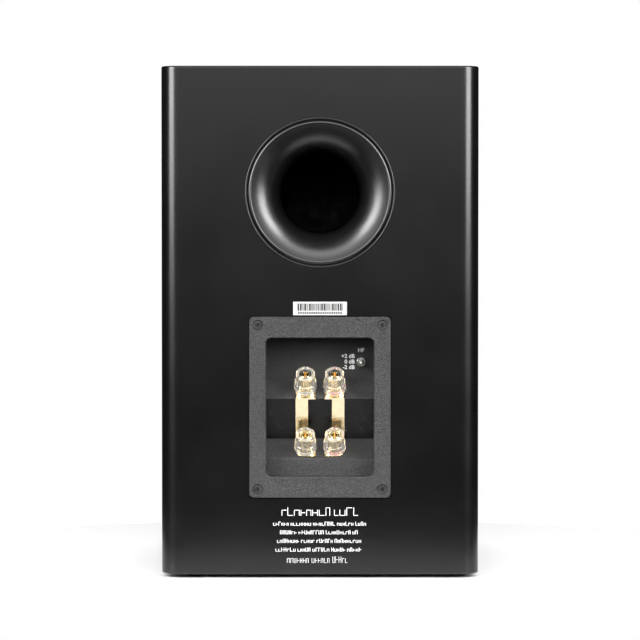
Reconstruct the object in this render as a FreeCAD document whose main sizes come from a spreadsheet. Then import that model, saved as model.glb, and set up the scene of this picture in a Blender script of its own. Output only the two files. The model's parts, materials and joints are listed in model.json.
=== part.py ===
import FreeCAD, Part
import math
import os
import re
import Sketcher

# A bookshelf loudspeaker: a two-way box with a rear port and bi-wire terminals.
# Frame: +Z up, the drivers face -Y, the terminals face +Y, and the origin is at the
# middle of the footprint, on the surface that the rubber feet stand on.

os.makedirs("parts", exist_ok=True)
doc = FreeCAD.newDocument("bookshelf_speaker")
Vector = FreeCAD.Vector

# ---------------------------------------------------------------------------
# Driving dimensions, in millimetres and degrees
# ---------------------------------------------------------------------------

SIZES = {
    # cabinet
    "cabinet_width": 207,
    "cabinet_height": 331,
    "rear_face": 132.5,
    "front_face": -131,
    "foot_height": 2.5,
    "foot_radius": 7,
    "foot_inset": 22,
    "board": 15,
    "baffle": 18,
    "upright_radius": 12,
    "edge_radius": 1.2,
    "brace_rear": -34,
    "brace_board": 12,
    "brace_border": 32,
    "lining": 12,
    # reflex port
    "port_height": 251.2,
    "port_bore": 26,
    "port_flare": 21,
    "port_wall": 2.5,
    "port_depth": 112,
    "port_proud": 0.5,
    "port_edge": 0.6,
    "port_groove": 0.5,
    "port_rebate": 5,
    # terminal cup
    "cup_height": 111.5,
    "plate_width": 92,
    "plate_tall": 118,
    "plate_corner": 3,
    "plate": 2.5,
    "plate_proud": 0.4,
    "screw_across": 81,
    "screw_up": 107,
    "recess_width": 70.5,
    "recess_half": 45,
    "recess_corner": 4,
    "valley_depth": 22,
    "ridge_depth": 10,
    "upper_valley": 17.7,
    "lower_valley": -21.9,
    "facet_rise": 12.4,
    "facet_tilt": 44.06,
    "fall_tilt": 23.81,
    "cup_wall": 2,
    "mouth_edge": 0.7,
    "plate_edge": 0.3,
    "ridge_edge": 0.4,
    "mark": 6,
    "mark_stroke": 0.7,
    "mark_down": 39.4,
    "screw_hole": 1.7,
    "screw_head": 3,
    "screw_sink": 1.9,
    # binding posts
    "post_apart": 19,
    "stud_radius": 3,
    "socket_radius": 2,
    "socket_depth": 12,
    "stud_tip": 14,
    "knob_tip": 14.5,
    "skirt_foot": 1.35,
    "knob_foot": 2.45,
    "knob_radius": 6.6,
    "shoulder": 7.6,
    "shoulder_radius": 7.15,
    "skirt_radius": 7.5,
    "skirt_bore": 5.6,
    "core_radius": 5.1,
    "fit": 0.08,
    "ring_foot": 1.25,
    "ring_radius": 5.3,
    "link": 1,
    "link_gap": 0.15,
    "link_half": 6.5,
    "strip_width": 8.2,
    "link_reach": 7.2,
    "link_corner": 5,
    # trim switch
    "switch_aside": -27,
    "switch_up": 28.7,
    "bushing_radius": 2.95,
    "bushing_bore": 2.05,
    "bushing_proud": 4,
    "lever_radius": 1.05,
    "lever_tip": 10.5,
    "ball_radius": 1.95,
    "pivot_proud": 1.7,
    "pin_radius": 0.4,
    "pin_half": 2.4,
    # woofer
    "woofer_height": 110.5,
    "woofer_radius": 84,
    "woofer_cutout": 73.5,
    "flange": 4,
    "cone_radius": 57,
    "former_radius": 12.75,
    "coil_radius": 13.7,
    "gap_radius": 14.2,
    "pole_radius": 12.2,
    "basket_depth": 49,
    "magnet_radius": 45,
    "magnet_length": 15,
    "pole_plate": 5,
    "yoke_radius": 42,
    "cone_neck": 13.2,
    "gasket_bore": 69.5,
    "gasket_edge": 73.9,
    "surround_seat": 1.3,
    "spider_level": 37.2,
    "spider_radius": 41,
    "woofer_screws": 158,
    # tweeter
    "tweeter_height": 257.5,
    "tweeter_radius": 52,
    "tweeter_cutout": 38,
    "dome_radius": 12.7,
    "dome_foot": 8.1,
    "gap_rear": 12.4,
    "magnet_rear": 20.4,
    "tweeter_yoke": 36,
    "tweeter_screws": 92,
    # crossover
    "circuit_board": 1.6,
    "circuit_lift": 6,
}

sheet = doc.addObject("Spreadsheet::Sheet", "size")
for row, (alias, amount) in enumerate(SIZES.items(), start=1):
    sheet.set(f"A{row}", alias)
    sheet.set(f"B{row}", str(amount))
    sheet.setAlias(f"B{row}", alias)
doc.recompute()

SUB_PARTS = []

# ---------------------------------------------------------------------------
# Helpers: formulas, placements, primitives, sketches and features
# ---------------------------------------------------------------------------


def formula(text):
    """The text as an expression in which each size is read from the spreadsheet."""
    return re.sub(r"[a-z_]+", lambda word: "size." + word[0] if word[0] in SIZES else word[0], str(text))


def number(text):
    """The present value of a formula."""
    result = sheet.evalExpression(formula(text))
    return float(getattr(result, "Value", result))


def bind(target, field, text):
    """Tie one property of a document object to a formula."""
    target.setExpression(field, formula(text))


def place(target, x=0, y=0, z=0, tilt=None):
    """Move an object by formulas; tilt turns it about X, from +Z up."""
    if tilt is not None:
        target.Placement = FreeCAD.Placement(Vector(), FreeCAD.Rotation(Vector(1, 0, 0), number(tilt)))
        bind(target, "Placement.Rotation.Angle", tilt)
    bind(target, "Placement.Base.x", x)
    bind(target, "Placement.Base.y", y)
    bind(target, "Placement.Base.z", z)


def sub_part(target, label):
    """Name a finished object as one of the speaker's pieces."""
    target.Label = label
    SUB_PARTS.append(target)
    return target


def box(x, y, z):
    """A box between pairs of formulas along each axis."""
    block = doc.addObject("Part::Box", "box")
    for field, (low, high) in zip(("Length", "Width", "Height"), (x, y, z)):
        bind(block, field, f"({high}) - ({low})")
    place(block, x[0], y[0], z[0])
    return block


def join(kind, *pieces):
    """A boolean of several objects: Cut, MultiFuse or MultiCommon."""
    result = doc.addObject("Part::" + kind, kind.lower())
    if kind == "Cut":
        result.Base, result.Tool = pieces
    else:
        result.Shapes = list(pieces)
    return result


def new_body(name):
    return doc.addObject("PartDesign::Body", name)


def new_sketch(body, plane):
    """An empty sketch on one of the body's origin planes."""
    sketch = body.newObject("Sketcher::SketchObject", "sketch")
    origin = {item.Role: item for item in body.Origin.OriginFeatures}
    sketch.AttachmentSupport = [(origin[plane + "_Plane"], "")]
    sketch.MapMode = "FlatFace"
    return sketch


def drive(sketch, kind, text, *where):
    """Add one driving dimension to a sketch."""
    index = sketch.addConstraint(Sketcher.Constraint(kind, *where, number(text)))
    sketch.setExpression(f"Constraints[{index}]", formula(text))


def arc_between(start, end, radius):
    """The short arc from start to end, turning left where radius is positive."""
    half = (end - start).Length / 2
    left = Vector(start.y - end.y, end.x - start.x, 0).normalize()
    reach = math.sqrt(max(radius * radius - half * half, 0))
    centre = (start + end) * 0.5 + left * math.copysign(reach, radius)
    first, last = (start, end) if radius > 0 else (end, start)
    angles = [math.atan2(point.y - centre.y, point.x - centre.x) for point in (first, last)]
    return Part.ArcOfCircle(Part.Circle(centre, Vector(0, 0, 1), abs(radius)), *angles)


def add_outline(sketch, corners):
    """A closed line through corners (x, y); (x, y, radius) is reached along an arc."""
    points = [Vector(number(corner[0]), number(corner[1]), 0) for corner in corners]
    edges = []
    for index, start in enumerate(points):
        following = (index + 1) % len(corners)
        end = points[following]
        if len(corners[following]) == 3:
            radius = corners[following][2]
            edge = sketch.addGeometry(arc_between(start, end, number(radius)))
            forward = (sketch.Geometry[edge].StartPoint - start).Length < 1e-6
            edges.append((edge, 1, 2) if forward else (edge, 2, 1))
            drive(sketch, "Radius", f"abs({radius})", edge)
        else:
            edge = sketch.addGeometry(Part.LineSegment(start, end))
            edges.append((edge, 1, 2))
    for (edge, _, last), (after, first, _) in zip(edges, edges[1:] + edges[:1]):
        sketch.addConstraint(Sketcher.Constraint("Coincident", edge, last, after, first))
    for (edge, first, _), corner in zip(edges, corners):
        drive(sketch, "DistanceX", corner[0], -1, 1, edge, first)
        drive(sketch, "DistanceY", corner[1], -1, 1, edge, first)


def outline(body, plane, corners):
    sketch = new_sketch(body, plane)
    add_outline(sketch, corners)
    return sketch


def circles(body, plane, centres, *radii):
    """Circles of the given radii round each centre."""
    sketch = new_sketch(body, plane)
    for x, y in centres:
        for radius in radii:
            middle = Vector(number(x), number(y), 0)
            edge = sketch.addGeometry(Part.Circle(middle, Vector(0, 0, 1), number(radius)))
            drive(sketch, "Radius", radius, edge)
            drive(sketch, "DistanceX", x, -1, 1, edge, 3)
            drive(sketch, "DistanceY", y, -1, 1, edge, 3)
    return sketch


def rounded(width, tall, radius):
    """Corners of a rectangle centred on the sketch's origin, with round corners."""
    side, top = f"({width}) / 2", f"({tall}) / 2"
    inner_side, inner_top = f"{side} - ({radius})", f"{top} - ({radius})"
    return [
        (f"-({inner_side})", f"-{top}"),
        (inner_side, f"-{top}"),
        (side, f"-({inner_top})", radius),
        (side, inner_top),
        (inner_side, top, radius),
        (f"-({inner_side})", top),
        (f"-{side}", inner_top, radius),
        (f"-{side}", f"-({inner_top})"),
        (f"-({inner_side})", f"-{top}", radius),
    ][1:]


def extrude(body, kind, sketch, length, symmetric=False, flip=False):
    """A Pad or a Pocket of a sketch."""
    feature = body.newObject("PartDesign::" + kind, kind.lower())
    feature.Profile = sketch
    bind(feature, "Length", length)
    feature.SideType = "Symmetric" if symmetric else "One side"
    feature.Reversed = flip
    return feature


def revolve(body, sketch, kind="Revolution", angle=360):
    """A Revolution or a Groove of a sketch about its own upright axis."""
    feature = body.newObject("PartDesign::" + kind, kind.lower())
    feature.Profile = sketch
    feature.ReferenceAxis = (sketch, ["V_Axis"])
    feature.Angle = angle
    feature.Midplane = angle < 360
    return feature


def repeat(body, feature, axis, count):
    """Copies of a feature evenly round one of the body's axes."""
    pattern = body.newObject("PartDesign::PolarPattern", "pattern")
    origin = {item.Role: item for item in body.Origin.OriginFeatures}
    pattern.Originals = [feature]
    pattern.Axis = (origin[axis + "_Axis"], [""])
    pattern.Angle = 360
    pattern.Occurrences = count
    body.Tip = pattern
    return pattern


def turned(label, corners, x=0, y=0, z=0, tilt=None, plane="XY"):
    """A piece turned from one outline about the sketch's upright axis."""
    body = new_body(label)
    revolve(body, outline(body, plane, corners))
    place(body, x, y, z, tilt)
    return sub_part(body, label)


def grouped(label, make, centres):
    """Several copies of one solid, kept as one group of separate solids."""
    copies = []
    for x, y, z in centres:
        copy = make()
        place(copy, x, y, z)
        copies.append(copy)
    group = doc.addObject("Part::Compound", label)
    group.Links = copies
    return sub_part(group, label)


def ring_of(count, diameter, height, first=0):
    """Centres on a circle in a driver's face, as formulas of x and z."""
    centres = []
    for index in range(count):
        angle = first + index * 360 / count
        centres.append((f"{diameter} / 2 * cos({angle})", f"{height} + {diameter} / 2 * sin({angle})"))
    return centres


# ---------------------------------------------------------------------------
# Cabinet
# ---------------------------------------------------------------------------

HALF_WIDTH = "cabinet_width / 2"
FLOOR = "foot_height"
ROOF = "foot_height + cabinet_height"
INNER_SIDE = "cabinet_width / 2 - board"
INNER_FLOOR = "foot_height + board"
INNER_ROOF = "foot_height + cabinet_height - board"
INNER_REAR = "rear_face - board"
INNER_FRONT = "front_face + baffle"


def cabinet_form():
    """The outer form that every board is cut from: round uprights and eased edges."""
    body = new_body("cabinet_form")
    middle = "(rear_face + front_face) / 2"
    block = rounded("cabinet_width", "rear_face - front_face", "upright_radius")
    shifted = [(corner[0], f"{middle} + {corner[1]}", *corner[2:]) for corner in block]
    pad = extrude(body, "Pad", outline(body, "XY", shifted), "cabinet_height")
    doc.recompute()
    caps = []
    for index, face in enumerate(pad.Shape.Faces, start=1):
        if abs(face.normalAt(0, 0).z) > 0.99:
            caps.append(f"Face{index}")
    eased = body.newObject("PartDesign::Fillet", "eased_edges")
    eased.Base = (pad, caps)
    bind(eased, "Radius", "edge_radius")
    place(body, 0, 0, FLOOR)
    return body


def bored(panel, y, cuts):
    """Cut round holes (x, z, radius, depth) into a panel, straight back from the plane y."""
    drills = []
    for x, z, radius, depth in cuts:
        drill = doc.addObject("Part::Cylinder", "drill")
        bind(drill, "Radius", radius)
        bind(drill, "Height", depth)
        place(drill, x, y, z, -90)
        drills.append(drill)
    return join("Cut", panel, drills[0] if len(drills) == 1 else join("MultiFuse", *drills))


def countersink(first, last, depth, where):
    """A cone to cut a screw's seat, its radius running from first to last."""
    sink = doc.addObject("Part::Cone", "countersink")
    bind(sink, "Radius1", first)
    bind(sink, "Radius2", last)
    bind(sink, "Height", depth)
    place(sink, *where)
    return sink


def make_cabinet():
    form = cabinet_form()
    whole_width = (f"-{HALF_WIDTH}", HALF_WIDTH)
    between_sides = (f"-({INNER_SIDE})", INNER_SIDE)
    behind_baffle = (INNER_FRONT, "rear_face")
    whole_height = (FLOOR, ROOF)
    regions = {
        "side_panel_left": ((INNER_SIDE, HALF_WIDTH), behind_baffle, whole_height),
        "side_panel_right": ((f"-{HALF_WIDTH}", f"-({INNER_SIDE})"), behind_baffle, whole_height),
        "top_panel": (between_sides, behind_baffle, (INNER_ROOF, ROOF)),
        "bottom_panel": (between_sides, behind_baffle, (FLOOR, INNER_FLOOR)),
    }
    for label, region in regions.items():
        sub_part(join("MultiCommon", form, box(*region)), label)

    rear_region = box(between_sides, (INNER_REAR, "rear_face"), (INNER_FLOOR, INNER_ROOF))
    rear = join("MultiCommon", form, rear_region)
    cup_hole = box(
        ("-recess_width / 2 - cup_wall - 1", "recess_width / 2 + cup_wall + 1"),
        ("rear_face - board - 1", "rear_face + 1"),
        ("cup_height - recess_half - cup_wall - 1", "cup_height + recess_half + cup_wall + 1"),
    )
    plate_rebate = new_body("plate_rebate")
    rebate = rounded("plate_width + 1", "plate_tall + 1", "plate_corner - 1")
    extrude(plate_rebate, "Pad", outline(plate_rebate, "XZ", rebate), "plate - plate_proud + 0.5 + 1")
    place(plate_rebate, 0, "rear_face + 1", "cup_height")
    rear = join("Cut", rear, join("MultiFuse", cup_hole, plate_rebate))
    screw_holes = [(x, f"cup_height + {z}", "1.5", "12") for x, z in CUP_SCREWS]
    port_rebate = ("0", "port_height", "port_bore + port_flare + 2", "port_rebate + 1")
    port_hole = ("0", "port_height", "port_bore + port_flare - 3.5", "board + 2")
    rear = bored(rear, "rear_face - port_rebate", [port_rebate])
    rear = bored(rear, "rear_face - board - 1", [port_hole])
    rear = bored(rear, "rear_face - 13.5", screw_holes)
    sub_part(rear, "rear_panel")

    front = join("MultiCommon", form, box(whole_width, ("front_face", INNER_FRONT), whole_height))
    seats = [
        ("0", "woofer_height", "woofer_radius + 0.4", "flange"),
        ("0", "woofer_height", "woofer_cutout", "baffle"),
        ("0", "tweeter_height", "tweeter_radius + 0.4", "flange"),
        ("0", "tweeter_height", "tweeter_cutout", "baffle"),
    ]
    pilots = [(x, z, "1.9", "16") for x, z in ring_of(6, "woofer_screws", "woofer_height")]
    pilots += [(x, z, "1.5", "14") for x, z in ring_of(4, "tweeter_screws", "tweeter_height", 45)]
    sub_part(bored(front, "front_face", seats + pilots), "front_baffle")

    brace = join(
        "Cut",
        box(between_sides, ("brace_rear - brace_board", "brace_rear"), (INNER_FLOOR, INNER_ROOF)),
        box(
            (f"-({INNER_SIDE}) + brace_border", f"{INNER_SIDE} - brace_border"),
            ("brace_rear - brace_board - 1", "brace_rear + 1"),
            (f"{INNER_FLOOR} + brace_border + 8", f"{INNER_ROOF} - brace_border"),
        ),
    )
    sub_part(brace, "window_brace")


def make_lining():
    """Two polyester sheets on the side walls and one under the top, behind the brace."""
    reach = ("brace_rear + 4", f"{INNER_REAR} - 4")
    upright = (f"{INNER_FLOOR} + 4", f"{INNER_ROOF} - lining - 1")
    sheets = doc.addObject("Part::Compound", "damping_lining")
    sheets.Links = [
        box((f"{INNER_SIDE} - lining", INNER_SIDE), reach, upright),
        box((f"-({INNER_SIDE})", f"-({INNER_SIDE}) + lining"), reach, upright),
        box((f"-({INNER_SIDE})", INNER_SIDE), reach, (f"{INNER_ROOF} - lining", INNER_ROOF)),
    ]
    sub_part(sheets, "damping_lining")


def make_feet():
    """Four low rubber discs with a rounded tread."""

    def foot():
        body = new_body("foot")
        profile = [
            ("0", "0"),
            ("foot_radius - 0.8", "0"),
            ("foot_radius", "0.8", "0.8"),
            ("foot_radius", "foot_height"),
            ("0", "foot_height"),
        ]
        revolve(body, outline(body, "XZ", profile))
        return body

    centres = []
    for side in (-1, 1):
        for y in ("front_face + foot_inset", "rear_face - foot_inset"):
            centres.append((f"{side} * (cabinet_width / 2 - foot_inset)", y, "0"))
    grouped("rubber_feet", foot, centres)


# ---------------------------------------------------------------------------
# Reflex port: outlines are (radius, distance behind the rear face as a negative y)
# ---------------------------------------------------------------------------


def make_port():
    place_port = {"y": "rear_face", "z": "port_height"}
    rim = "port_bore + port_flare"
    groove = f"{rim} + port_edge + port_groove"
    flange = [
        (rim, "port_proud", "port_edge"),
        ("port_bore", "port_proud - port_flare", "port_flare"),
        ("port_bore", "-port_flare - 4"),
        ("port_bore + port_wall", "-port_flare - 4"),
        ("port_bore + port_wall", "-port_flare - 12"),
        ("port_bore + 2 * port_wall", "-port_flare - 12"),
        ("port_bore + 2 * port_wall", "-port_flare"),
        (f"{rim} - 4", "-port_rebate", "port_rebate - port_flare"),
        (f"{rim} + 1.8", "-port_rebate"),
        (f"{rim} + 1.8", "0"),
        (f"{groove} + port_groove / 2", "0"),
        (groove, "-port_groove / 2", "port_groove / 2"),
        (groove, "-1.2"),
        (f"{rim} + port_edge", "-1.2"),
        (f"{rim} + port_edge", "port_proud - port_edge"),
    ]
    turned("port_flange", flange, **place_port)
    tube = [
        ("port_bore", "-port_flare - 4"),
        ("port_bore", "-port_depth"),
        ("port_bore + port_wall", "-port_depth"),
        ("port_bore + port_wall", "-port_flare - 4"),
    ]
    turned("port_tube", tube, **place_port)
    bell = [
        ("port_bore", "-port_depth"),
        ("port_bore + 9", "-port_depth - 9", "9"),
        ("port_bore + 11", "-port_depth - 9"),
        ("port_bore + 2 * port_wall", "-port_depth + 1", "-11"),
        ("port_bore + 2 * port_wall", "-port_depth + 8"),
        ("port_bore + port_wall", "-port_depth + 8"),
        ("port_bore + port_wall", "-port_depth"),
    ]
    turned("port_inner_flare", bell, **place_port)


# ---------------------------------------------------------------------------
# Terminal cup: a plate with a recess whose floor is a saw-tooth of sloped facets
# ---------------------------------------------------------------------------

CUP_FACE = "rear_face + plate_proud"
CUP_SCREWS = [(f"{a} * screw_across / 2", f"{b} * screw_up / 2") for a in (-1, 1) for b in (-1, 1)]
POST_ROWS = {"hf": "upper_valley", "lf": "lower_valley"}
POST_SIDES = {"positive": -1, "negative": 1}
DROP = "facet_rise * tan(facet_tilt)"


def floor_corners(deeper):
    """The recess floor from the top edge to the bottom edge, as (depth, height)."""
    return [
        (f"-valley_depth - {deeper}", "upper_valley"),
        (f"-ridge_depth - {deeper}", "upper_valley - facet_rise"),
        (f"-valley_depth - {deeper}", "lower_valley"),
        (f"-ridge_depth - {deeper}", "lower_valley - facet_rise"),
    ]


def facet_point(valley, along, out):
    """A point in the side view of a post facet: along it, downwards, and out from it."""
    depth = f"-(valley_depth + ridge_depth) / 2 + ({along}) * sin(facet_tilt) + ({out}) * cos(facet_tilt)"
    height = f"{valley} - facet_rise / 2 - ({along}) * cos(facet_tilt) + ({out}) * sin(facet_tilt)"
    return depth, height


def bend_point(depth, height, out):
    """A point out from a ridge or a valley where a post facet meets the falling facet."""
    share = f"({out}) / (1 + cos(facet_tilt + fall_tilt))"
    return (
        f"{depth} + {share} * (cos(facet_tilt) + cos(fall_tilt))",
        f"{height} + {share} * (sin(facet_tilt) - sin(fall_tilt))",
    )


def post_place(row, side, out="0"):
    """The foot of a post on its facet, as keyword arguments for place()."""
    depth, height = facet_point(POST_ROWS[row], "0", out)
    return {
        "x": f"{POST_SIDES[side]} * post_apart / 2",
        "y": f"{CUP_FACE} + {depth}",
        "z": f"cup_height + {height}",
        "tilt": "facet_tilt - 90",
    }


def make_cup():
    body = new_body("plate_blank")
    plate = rounded("plate_width", "plate_tall", "plate_corner")
    extrude(body, "Pad", outline(body, "XZ", plate), "plate")
    wall = "cup_wall"
    deeper = "1.35 * cup_wall"
    shell = [("-plate / 2", f"recess_half + {wall}"), (f"-valley_depth - {deeper}", f"recess_half + {wall}")]
    shell += floor_corners(deeper)
    shell += [(f"-ridge_depth - {deeper}", f"-recess_half - {wall}")]
    shell += [("-plate / 2", f"-recess_half - {wall}")]
    extrude(body, "Pad", outline(body, "YZ", shell), f"recess_width + 2 * {wall}", symmetric=True)
    doc.recompute()
    solid = body.Tip.Shape.Volume
    hollow = [("1", "recess_half"), ("-valley_depth", "recess_half")]
    hollow += floor_corners("0")
    hollow += [("-ridge_depth", "-recess_half"), ("1", "-recess_half")]
    recess = extrude(body, "Pocket", outline(body, "YZ", hollow), "recess_width", symmetric=True)
    doc.recompute()
    assert recess.Shape.Volume < solid
    round_recess(body)
    soften(body, "ridge_edge", on_ridge)
    soften(body, "mouth_edge", on_mouth)
    soften(body, "plate_edge", on_plate_edge)

    extrude(body, "Pocket", circles(body, "XZ", CUP_SCREWS, "screw_hole"), "plate * 2", symmetric=True)
    doc.recompute()
    place(body, 0, CUP_FACE, "cup_height")

    drills = []
    for row in POST_ROWS:
        for side in POST_SIDES:
            drill = doc.addObject("Part::Cylinder", "stud_hole")
            bind(drill, "Radius", "stud_radius + 0.05")
            bind(drill, "Height", "10")
            place(drill, **post_place(row, side, "-6"))
            drills.append(drill)
    bushing_hole = doc.addObject("Part::Cylinder", "bushing_hole")
    bind(bushing_hole, "Radius", "bushing_radius + 0.05")
    bind(bushing_hole, "Height", "8")
    place(bushing_hole, "switch_aside", f"{CUP_FACE} - valley_depth - 5", "cup_height + switch_up", -90)
    for x, z in CUP_SCREWS:
        where = (x, f"{CUP_FACE} - screw_sink", f"cup_height + {z}", -90)
        drills.append(countersink("screw_hole", "screw_head + 0.5", "screw_sink", where))
    holes = join("MultiFuse", bushing_hole, *drills, *polarity_marks())
    sub_part(join("Cut", body, holes), "terminal_plate")


def soften(body, radius, chosen):
    """Round every edge of the body's newest shape that a test picks out."""
    doc.recompute()
    before = body.Tip
    names = [f"Edge{index}" for index, edge in enumerate(before.Shape.Edges, start=1) if chosen(edge)]
    assert names
    fillet = body.newObject("PartDesign::Fillet", radius)
    fillet.Base = (before, names)
    bind(fillet, "Radius", radius)


def round_recess(body):
    """Round the recess's corners as seen from behind: along its ceiling and its bottom."""
    side, top = number("recess_width / 2"), number("recess_half")

    def at_corner(edge):
        middle = edge.CenterOfMass
        deep = edge.BoundBox.YLength > 5 and middle.y < 0
        return deep and abs(abs(middle.x) - side) < 0.01 and abs(abs(middle.z) - top) < 0.01

    soften(body, "recess_corner", at_corner)


def on_ridge(edge):
    """The two long edges where the recess floor comes nearest to the face."""
    middle = edge.CenterOfMass
    long = edge.BoundBox.XLength > number("recess_width - 1")
    heights = [number("upper_valley - facet_rise"), number("lower_valley - facet_rise")]
    near = [abs(middle.z - height) < 0.01 for height in heights]
    return long and abs(middle.y + number("ridge_depth")) < 0.01 and any(near)


def on_mouth(edge):
    middle = edge.CenterOfMass
    inside = abs(middle.x) < number("recess_width / 2 + 1") and abs(middle.z) < number("recess_half + 1")
    return inside and edge.BoundBox.YMin > -0.01


def on_plate_edge(edge):
    middle = edge.CenterOfMass
    outside = abs(middle.x) > number("plate_width / 2 - 2") or abs(middle.z) > number("plate_tall / 2 - 2")
    return outside and edge.BoundBox.YMin > -0.01


def polarity_marks():
    """A minus sign and a plus sign, to be sunk into the flat below the lower posts."""
    face = f"{CUP_FACE} - ridge_depth"
    depth = (f"{face} - 0.35", f"{face} + 1")
    height = "cup_height - mark_down"
    strokes = []
    for side, sign in POST_SIDES.items():
        centre = f"{sign} * post_apart / 2"
        strokes.append(
            box(
                (f"{centre} - mark / 2", f"{centre} + mark / 2"),
                depth,
                (f"{height} - mark_stroke / 2", f"{height} + mark_stroke / 2"),
            )
        )
        if side == "positive":
            strokes.append(
                box(
                    (f"{centre} - mark_stroke / 2", f"{centre} + mark_stroke / 2"),
                    depth,
                    (f"{height} - mark / 2", f"{height} + mark / 2"),
                )
            )
    return strokes


def make_cup_gasket():
    """A thin foam frame between the plate and its rebate."""
    body = new_body("terminal_gasket")
    sketch = outline(body, "XZ", rounded("plate_width - 1", "plate_tall - 1", "plate_corner"))
    window = ("recess_width + 2 * cup_wall + 0.6", "2 * (recess_half + cup_wall) + 0.6")
    add_outline(sketch, rounded(*window, "1"))
    extrude(body, "Pad", sketch, "0.5")
    extrude(body, "Pocket", circles(body, "XZ", CUP_SCREWS, "screw_hole"), "2", symmetric=True)
    place(body, 0, f"{CUP_FACE} - plate", "cup_height")
    sub_part(body, "terminal_gasket")


def screw_outline(head, shank, sink, length):
    """Half the outline of a countersunk screw, its head's face at 0 and its tip below."""
    return [
        ("0", f"-({length})"),
        (f"{shank} * 0.5", f"-({length})"),
        (shank, f"-({length}) + {shank}"),
        (shank, f"-({sink})"),
        (head, "-0.1"),
        (head, "0"),
        ("0", "0"),
    ]


def countersunk_screw(head, shank, sink, length, reach):
    """A screw along Y with a cross-shaped socket; its face points along +Y."""
    body = new_body("screw")
    revolve(body, outline(body, "XY", screw_outline(head, shank, sink, length)))
    doc.recompute()
    arm = f"({head}) * 0.55"
    thin = f"({head}) * 0.13"
    cross = []
    for turn in range(4):
        for along, across in ((arm, f"-{thin}"), (arm, thin), (thin, thin)):
            cross.append((
                f"{along} * cos({90 * turn}) - ({across}) * sin({90 * turn})",
                f"{along} * sin({90 * turn}) + ({across}) * cos({90 * turn})",
            ))
    extrude(body, "Pocket", outline(body, "XZ", cross), reach, symmetric=True)
    return body


def make_cup_screws():
    centres = [(x, CUP_FACE, f"cup_height + {z}") for x, z in CUP_SCREWS]
    grouped("terminal_screws", lambda: countersunk_screw("screw_head", "1.45", "1.8", "12", "2.4"), centres)


# ---------------------------------------------------------------------------
# Binding posts: built along +Z from the facet, then tilted and set on it
# ---------------------------------------------------------------------------


def make_stud():
    """A hollow stud: the banana socket opens at its tip, its foot passes through the cup."""
    body = new_body("stud")
    profile = [
        ("0", "-14"),
        ("stud_radius", "-14"),
        ("stud_radius", "stud_tip - 0.4"),
        ("stud_radius - 0.4", "stud_tip"),
        ("socket_radius", "stud_tip"),
        ("socket_radius", "stud_tip - socket_depth"),
        ("0", "stud_tip - socket_depth - 1"),
    ]
    revolve(body, outline(body, "XZ", profile))
    return body


def make_nut():
    """A hexagon nut with its washer, clamping the stud from behind the cup."""
    body = new_body("nut")
    across = "5"
    corners = []
    for index in range(6):
        angle = 60 * index
        corners.append((f"{across} / cos(30) * cos({angle})", f"{across} / cos(30) * sin({angle})"))
    hexagon = extrude(body, "Pad", outline(body, "XY", corners), "4", flip=True)
    doc.recompute()
    bore = circles(body, "XY", [("0", "0")], "stud_radius")
    extrude(body, "Pocket", bore, "20", symmetric=True)
    doc.recompute()
    assert body.Tip.Shape.Volume < hexagon.Shape.Volume
    return body


def make_posts():
    studs, nuts = [], []
    for row in POST_ROWS:
        for side in POST_SIDES:
            stud = make_stud()
            place(stud, **post_place(row, side))
            studs.append(stud)
            nut = make_nut()
            place(nut, **post_place(row, side, "-cup_wall"))
            nuts.append(nut)
            make_post_ring(f"post_ring_{row}_{side}", post_place(row, side))
            make_post_core(f"post_core_{row}_{side}", post_place(row, side))
            make_post_sleeve(f"post_sleeve_{row}_{side}", post_place(row, side))
    for label, pieces in (("post_studs", studs), ("post_nuts", nuts)):
        group = doc.addObject("Part::Compound", label)
        group.Links = pieces
        sub_part(group, label)


def make_post_ring(label, where):
    """The coloured washer that rides out under the knob."""
    profile = [
        ("stud_radius + fit", "ring_foot"),
        ("ring_radius", "ring_foot"),
        ("ring_radius", "knob_foot - 0.1"),
        ("stud_radius + fit", "knob_foot - 0.1"),
    ]
    turned(label, profile, plane="XZ", **where)


def make_post_core(label, where):
    """The threaded metal core with ribs down its side."""
    body = new_body(label)
    profile = [
        ("stud_radius + fit", "knob_foot"),
        ("core_radius", "knob_foot"),
        ("core_radius", "knob_tip - 1.5"),
        ("stud_radius + fit", "knob_tip - 1.5"),
    ]
    revolve(body, outline(body, "XZ", profile))
    doc.recompute()
    solid = body.Tip.Shape.Volume
    slot = [
        ("core_radius - 0.5", "-0.45"),
        ("core_radius + 1", "-0.45"),
        ("core_radius + 1", "0.45"),
        ("core_radius - 0.5", "0.45"),
    ]
    groove = extrude(body, "Pocket", outline(body, "XY", slot), "2 * (knob_tip - 3)", symmetric=True)
    ribs = repeat(body, groove, "Z", 12)
    doc.recompute()
    assert ribs.Shape.Volume < solid
    place(body, **where)
    sub_part(body, label)


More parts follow.
